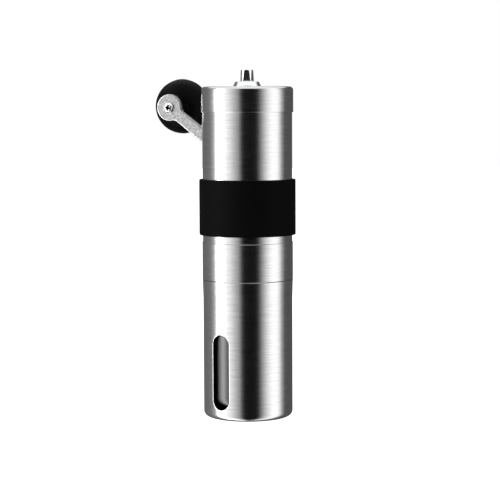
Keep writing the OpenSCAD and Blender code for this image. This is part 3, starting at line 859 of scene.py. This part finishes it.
class GRINDER_OT_crank_arm(bpy.types.Operator):
    """Crank's strip: stamped outline with rolled edges, a joggle and the five-sided socket"""
    bl_idname = "grinder.crank_arm"
    bl_label = "Crank strip"

    bend = (33.4 * MM, 43.2 * MM)

    def drop_at(self, x, drop):
        share = min(1, max(0, (x - self.bend[0]) / (self.bend[1] - self.bend[0])))
        return -drop * share * share * (3 - 2 * share)

    def execute(self, context):
        sizes = context.scene.grinder_sizes
        length = crank_length()
        steps = 5
        turns = [math.pi / 2 * k / steps for k in range(steps + 1)]
        layers = [(sizes.strip_edge_deep * (1 - math.cos(a)), sizes.strip_edge * (1 - math.sin(a)))
                  for a in turns]
        full = layers + [(sizes.strip - h, inset) for h, inset in reversed(layers)]
        mesh = bmesh.new()
        rows = [[mesh.verts.new((p.x, p.y, h)) for p in strip_outline(sizes, length, inset)]
                for h, inset in full]
        for low, high in zip(rows, rows[1:]):
            for j in range(len(low)):
                k = (j + 1) % len(low)
                mesh.faces.new((low[j], low[k], high[k], high[j]))
        mesh.faces.new(rows[0])
        mesh.faces.new(rows[-1])
        cuts = [self.bend[0] + (self.bend[1] - self.bend[0]) * k / 20 for k in range(21)]
        for x in cuts:
            bmesh.ops.bisect_plane(mesh, geom=mesh.verts[:] + mesh.edges[:] + mesh.faces[:],
                                   plane_co=(x, 0, 0), plane_no=(1, 0, 0))
        for v in mesh.verts:
            v.co.z += self.drop_at(v.co.x, sizes.strip_drop)
        bmesh.ops.recalc_face_normals(mesh, faces=mesh.faces)
        arm = to_object("crank_arm_strip", mesh)
        socket_flat_r = 3.26 * MM
        socket_r = socket_flat_r / math.cos(math.pi / 5)
        angles = [2 * math.pi * k / 5 for k in range(5)]
        corners = [Vector((socket_r * math.cos(a), socket_r * math.sin(a))) for a in angles]
        skin, bevel = 0.02 * MM, 0.25 * MM
        flare, wide = 1.09, 1.25
        outline = [[(p.x * g, p.y * g, z) for p in corners] for z, g in (
            (-MM, wide), (-skin, flare), (bevel, 1), (sizes.strip - bevel, 1),
            (sizes.strip + skin, flare), (sizes.strip + MM, wide))]
        combine(arm, loft(outline))
        hole_r, hole_low, hole_high = 2 * MM, -9 * MM, 3 * MM
        hole = lathe([Vector(p) for p in ((0, hole_low), (hole_r, hole_low), (hole_r, hole_high),
                                          (0, hole_high))], 48)
        combine(arm, hole, place=Matrix.Translation((length, 0, 0)))
        arm.data.transform(crank_frame())
        settle(arm, "crank", "satin_strip", "crank_arm")
        return {"FINISHED"}


class GRINDER_OT_knob_screw(bpy.types.Operator):
    """Knob's screw: low round head with a cross recess, and its shank"""
    bl_idname = "grinder.knob_screw"
    bl_label = "Knob screw"

    def execute(self, context):
        sizes = context.scene.grinder_sizes
        under = -sizes.strip_drop
        head_r, head_h, shank_r, shank = 2.9 * MM, 1.8 * MM, 1.88 * MM, 14 * MM
        crown_in, crown, rim, seat = 0.95 * MM, 1.2 * MM, 0.3 * MM, 0.12 * MM
        rim_share = 0.45                # height of the rim's bend, as a share of the head's
        outline = rounded(
            [(0, under - head_h), (head_r - crown_in, under - head_h, crown),
             (head_r, under - head_h * rim_share, rim), (head_r, under, seat), (shank_r, under),
             (shank_r, under + shank, rim), (0, under + shank)], steps=7)
        screw = to_object("knob_screw_steel", lathe(outline, 96))
        arm_width, arm_reach, arm_depth = 1.25 * MM, 1.75 * MM, 1.9 * MM
        flip = Matrix.Translation((0, 0, under)) @ Matrix.Rotation(math.pi, 4, "X")
        for turn in (20, 110):
            arm = recess_arm(arm_width, arm_reach, arm_depth, head_h)
            combine(screw, arm, place=flip @ Matrix.Rotation(math.radians(turn), 4, "Z"))

        # The recess is the part of the screw near its axis that lies in the head, below its face; these faces
        # get the painted shade
        face_z = under - head_h + 0.02 * MM
        recess_r, recess_end = 1.8 * MM, under + 2 * MM
        painted_shade_faces = []
        for face in screw.data.polygons:
            near_axis = all(screw.data.vertices[k].co.xy.length < recess_r for k in face.vertices)
            in_recess = face.normal.z > -0.7 or face.center.z > face_z + 0.5 * MM
            if near_axis and face.center.z < recess_end and in_recess:
                painted_shade_faces.append(face.index)
        screw.data.transform(crank_frame() @ Matrix.Translation((crank_length(), 0, 0)))
        settle(screw, "crank", "turned_steel", "knob_screw")
        # Second slot: near-black painted shade laid on the recess faces
        screw.data.materials.append(painted_recess_shade(context.scene.grinder_colours))
        for index in painted_shade_faces:
            screw.data.polygons[index].material_index = 1
        return {"FINISHED"}


class GRINDER_OT_knob(bpy.types.Operator):
    """Ball knob with its neck, its mould line and the cap that closes its end"""
    bl_idname = "grinder.knob"
    bl_label = "Knob and cap"

    def execute(self, context):
        sizes = context.scene.grinder_sizes
        ball_r = 15.2 * MM
        strip_top = sizes.strip - sizes.strip_drop
        foot = strip_top + 0.8 * MM
        middle = 18.7 * MM - sizes.strip_drop
        neck_r, bore_r, cap_r = 6.6 * MM, 2.9 * MM, 5.4 * MM
        ledge = 18.4 * MM
        seam_high, seam_wide = 0.2 * MM, 0.5 * MM
        bore_edge, neck_edge = 0.2 * MM, 0.4 * MM
        start = -math.degrees(math.acos((neck_r + 0.5 * MM) / ball_r))
        end = math.degrees(math.acos((cap_r + 0.15 * MM) / ball_r))
        skin = []
        for p in arc((0, middle), ball_r, start, end, 96):
            away = abs(p.y - middle)
            lift = seam_high * max(0, 1 - away / seam_wide)
            direction = (p - Vector((0, middle))).normalized()
            skin.append(p + direction * lift)
        cap_edge = middle + math.sqrt(ball_r ** 2 - cap_r ** 2) - 0.12 * MM
        neck_top = middle + ball_r * math.sin(math.radians(start)) - 0.45 * MM
        outline = rounded([(bore_r, foot, bore_edge), (neck_r, foot, neck_edge), (neck_r, neck_top)], steps=5)
        outline += skin + [Vector((cap_r, cap_edge)), Vector((cap_r, ledge)), Vector((bore_r, ledge))]
        place = crank_frame() @ Matrix.Translation((crank_length(), 0, 0))
        ball = to_object("knob_ball", lathe(outline, 192), place)
        settle(ball, "knob", "knob_plastic", "crank_knob")

        face_r = cap_r - 0.07 * MM
        rim_edge = 0.12 * MM
        dome = arc((0, middle), ball_r, math.degrees(math.acos((face_r - rim_edge) / ball_r)), 90, 10)
        dome[-1].x = 0
        cap_low = 24 * MM
        rim = middle + math.sqrt(ball_r ** 2 - face_r ** 2) - 0.14 * MM
        outline = [Vector((0, cap_low)), Vector((face_r, cap_low)), Vector((face_r, rim))] + dome
        cap = to_object("knob_cap_disc", lathe(outline, 96), place)
        settle(cap, "knob", "knob_plastic", "knob_cap")
        return {"FINISHED"}


# ---- Inner pieces and stage ----

class GRINDER_OT_inner_finishes(bpy.types.Operator):
    """Gives every CAD piece that stays in view the finish of its slot"""
    bl_idname = "grinder.inner_finishes"
    bl_label = "Inner pieces"

    def execute(self, context):
        for part in frame["record"]["subparts"]:
            node = frame["nodes"][part["node"]]
            for place in node.material_slots:
                place.material = finish_for(part["material_slot"])
        return {"FINISHED"}


VIEW_TURN = math.radians(20)        # the viewer stands this far round to the right of the front
VIEW_DISTANCE = 899 * MM
VIEW_HEIGHT = 163.1 * MM
VIEW_SIDE = 1.23 * MM               # and this far to the right of the spindle's axis
VIEW_DIP = math.radians(4.69)
VIEW_ROLL = math.radians(-0.24)
VIEW_LENS = 121.03


class GRINDER_OT_stage(bpy.types.Operator):
    """Pale floor, studio light with a level for each side, and the camera"""
    bl_idname = "grinder.stage"
    bl_label = "Stage"

    # Light from each side, by angle round from the viewer in degrees (negative is left).
    # The levels are set so that the bands of light and dark fall in place on the steel.
    panels = (
        (-180, 0.045), (-138, 0.045), (-120, 0.055), (-110, 0.06), (-101, 0.1), (-94, 0.13), (-88, 0.4),
        (-84, 0.5), (-81, 2.4), (-72, 2.4), (-68, 0.5), (-62, 0.42), (-56, 0.36), (-47, 0.32),
        (-39, 0.24), (-31, 0.17), (-23, 0.12), (-17, 0.03), (-12, 0.0), (24, 0.0), (29, 0.02),
        (34, 0.075), (41, 0.155), (49, 0.26), (58, 0.36), (66, 0.42), (78, 0.42), (86, 0.36),
        (96, 0.14), (108, 0.03), (180, 0.024))
    ceiling_level = 0.32
    ceiling_low, ceiling_high = 0.44, 0.62      # the sides fade into the ceiling here: sine of the angle up
    strength = 4.0

    def light(self, scene):
        world = bpy.data.worlds.new("studio")
        world.use_nodes = True
        tree = world.node_tree
        tree.nodes.clear()
        coords = add_node(tree, "ShaderNodeTexCoord")
        turned = add_node(tree, "ShaderNodeMapping", {"Rotation": (0, 0, -VIEW_TURN)},
                          {"Vector": coords.outputs["Generated"]})
        parts = add_node(tree, "ShaderNodeSeparateXYZ", links={"Vector": turned.outputs["Vector"]})
        front = add_node(tree, "ShaderNodeMath", {1: -1.0}, {0: parts.outputs["Y"]}, operation="MULTIPLY")
        angle = add_node(tree, "ShaderNodeMath", links={0: parts.outputs["X"], 1: front.outputs[0]},
                         operation="ARCTAN2")
        share = add_node(tree, "ShaderNodeMapRange", {"From Min": -math.pi, "From Max": math.pi},
                         {"Value": angle.outputs[0]})
        sides = add_node(tree, "ShaderNodeValToRGB", links={"Fac": share.outputs["Result"]})
        brightest = max(level for a, level in self.panels)
        set_stops(sides, [((a / 180 + 1) / 2, level / brightest) for a, level in self.panels])
        above = add_node(tree, "ShaderNodeMapRange",
                         {"From Min": self.ceiling_low, "From Max": self.ceiling_high},
                         {"Value": parts.outputs["Z"]}, interpolation_type="SMOOTHSTEP")
        studio = add_node(tree, "ShaderNodeMix", links={"Factor": above.outputs["Result"]}, data_type="RGBA")
        tree.links.new(sides.outputs["Color"], studio.inputs[6])
        ceiling = self.ceiling_level / brightest
        studio.inputs[7].default_value = (ceiling, ceiling, ceiling, 1)
        lit = add_node(tree, "ShaderNodeBackground", {"Strength": self.strength * brightest},
                       {"Color": studio.outputs[2]})
        pale = add_node(tree, "ShaderNodeBackground", {"Color": (1, 1, 1, 1), "Strength": 1.0})
        path = add_node(tree, "ShaderNodeLightPath")
        both = add_node(tree, "ShaderNodeMixShader", links={
            0: path.outputs["Is Camera Ray"], 1: lit.outputs["Background"], 2: pale.outputs["Background"]})
        add_node(tree, "ShaderNodeOutputWorld", links={"Surface": both.outputs["Shader"]})
        scene.world = world

    def floor(self, scene):
        mesh = bmesh.new()
        bmesh.ops.create_circle(mesh, cap_ends=True, radius=4.0, segments=64)
        below = -0.05 * MM
        floor = to_object("studio_floor", mesh, Matrix.Translation((0, 0, below)))
        material = new_material("lit_acrylic_table", linear("#E8E8E8"), {
            "Roughness": 0.6, "Emission Color": (1, 1, 1, 1), "Emission Strength": 0.8})[0]
        floor.data.materials.append(material)
        floor.visible_glossy = False
        floor.visible_shadow = False

    def camera(self, scene):
        data = bpy.data.cameras.new("camera")
        data.sensor_width = 36
        data.lens = VIEW_LENS
        data.clip_start = 0.01
        camera = bpy.data.objects.new("camera", data)
        scene.collection.objects.link(camera)
        away = Vector((math.sin(VIEW_TURN), -math.cos(VIEW_TURN), 0))
        right = Vector((math.cos(VIEW_TURN), math.sin(VIEW_TURN), 0))
        place = away * VIEW_DISTANCE + right * VIEW_SIDE + Vector((0, 0, VIEW_HEIGHT))
        turn = (Matrix.Rotation(VIEW_TURN, 4, "Z") @ Matrix.Rotation(math.pi / 2 - VIEW_DIP, 4, "X")
                @ Matrix.Rotation(VIEW_ROLL, 4, "Z"))
        camera.matrix_world = Matrix.Translation(place) @ turn
        scene.camera = camera

    def execute(self, context):
        scene = context.scene
        self.light(scene)
        self.floor(scene)
        self.camera(scene)
        scene.view_settings.view_transform = "Standard"
        scene.view_settings.look = "None"
        return {"FINISHED"}


OPERATORS = (
    GRINDER_OT_stage, GRINDER_OT_inner_finishes, GRINDER_OT_cup_shell, GRINDER_OT_cup_liner,
    GRINDER_OT_hopper_tube, GRINDER_OT_lid_cap, GRINDER_OT_lid_boss, GRINDER_OT_grip_band, GRINDER_OT_spindle,
    GRINDER_OT_crank_arm, GRINDER_OT_knob_screw, GRINDER_OT_knob,
)


class GRINDER_PT_panel(bpy.types.Panel):
    """Lists the pieces, their sizes and their colours"""
    bl_idname = "GRINDER_PT_panel"
    bl_label = "Coffee grinder"
    bl_space_type = "VIEW_3D"
    bl_region_type = "UI"
    bl_category = "Grinder"

    def draw(self, context):
        layout = self.layout
        for operator in OPERATORS:
            layout.operator(operator.bl_idname)
        for group in (context.scene.grinder_sizes, context.scene.grinder_colours):
            box = layout.box()
            for name in group.__annotations__:
                box.prop(group, name)


CLASSES = (GrinderSizes, GrinderColours, *OPERATORS, GRINDER_PT_panel)


def register():
    for cls in CLASSES:
        bpy.utils.register_class(cls)
    bpy.types.Scene.grinder_sizes = PointerProperty(type=GrinderSizes)
    bpy.types.Scene.grinder_colours = PointerProperty(type=GrinderColours)


def unregister():
    del bpy.types.Scene.grinder_colours
    del bpy.types.Scene.grinder_sizes
    for cls in reversed(CLASSES):
        bpy.utils.unregister_class(cls)


def main():
    register()
    bpy.ops.grinder.stage()
    bpy.ops.grinder.inner_finishes()
    bpy.ops.grinder.cup_shell()
    bpy.ops.grinder.cup_liner()
    bpy.ops.grinder.hopper_tube()
    bpy.ops.grinder.lid_cap()
    bpy.ops.grinder.lid_boss()
    bpy.ops.grinder.grip_band()
    bpy.ops.grinder.spindle()
    bpy.ops.grinder.crank_arm()
    bpy.ops.grinder.knob_screw()
    bpy.ops.grinder.knob()


if __name__ == "__main__":
    main()
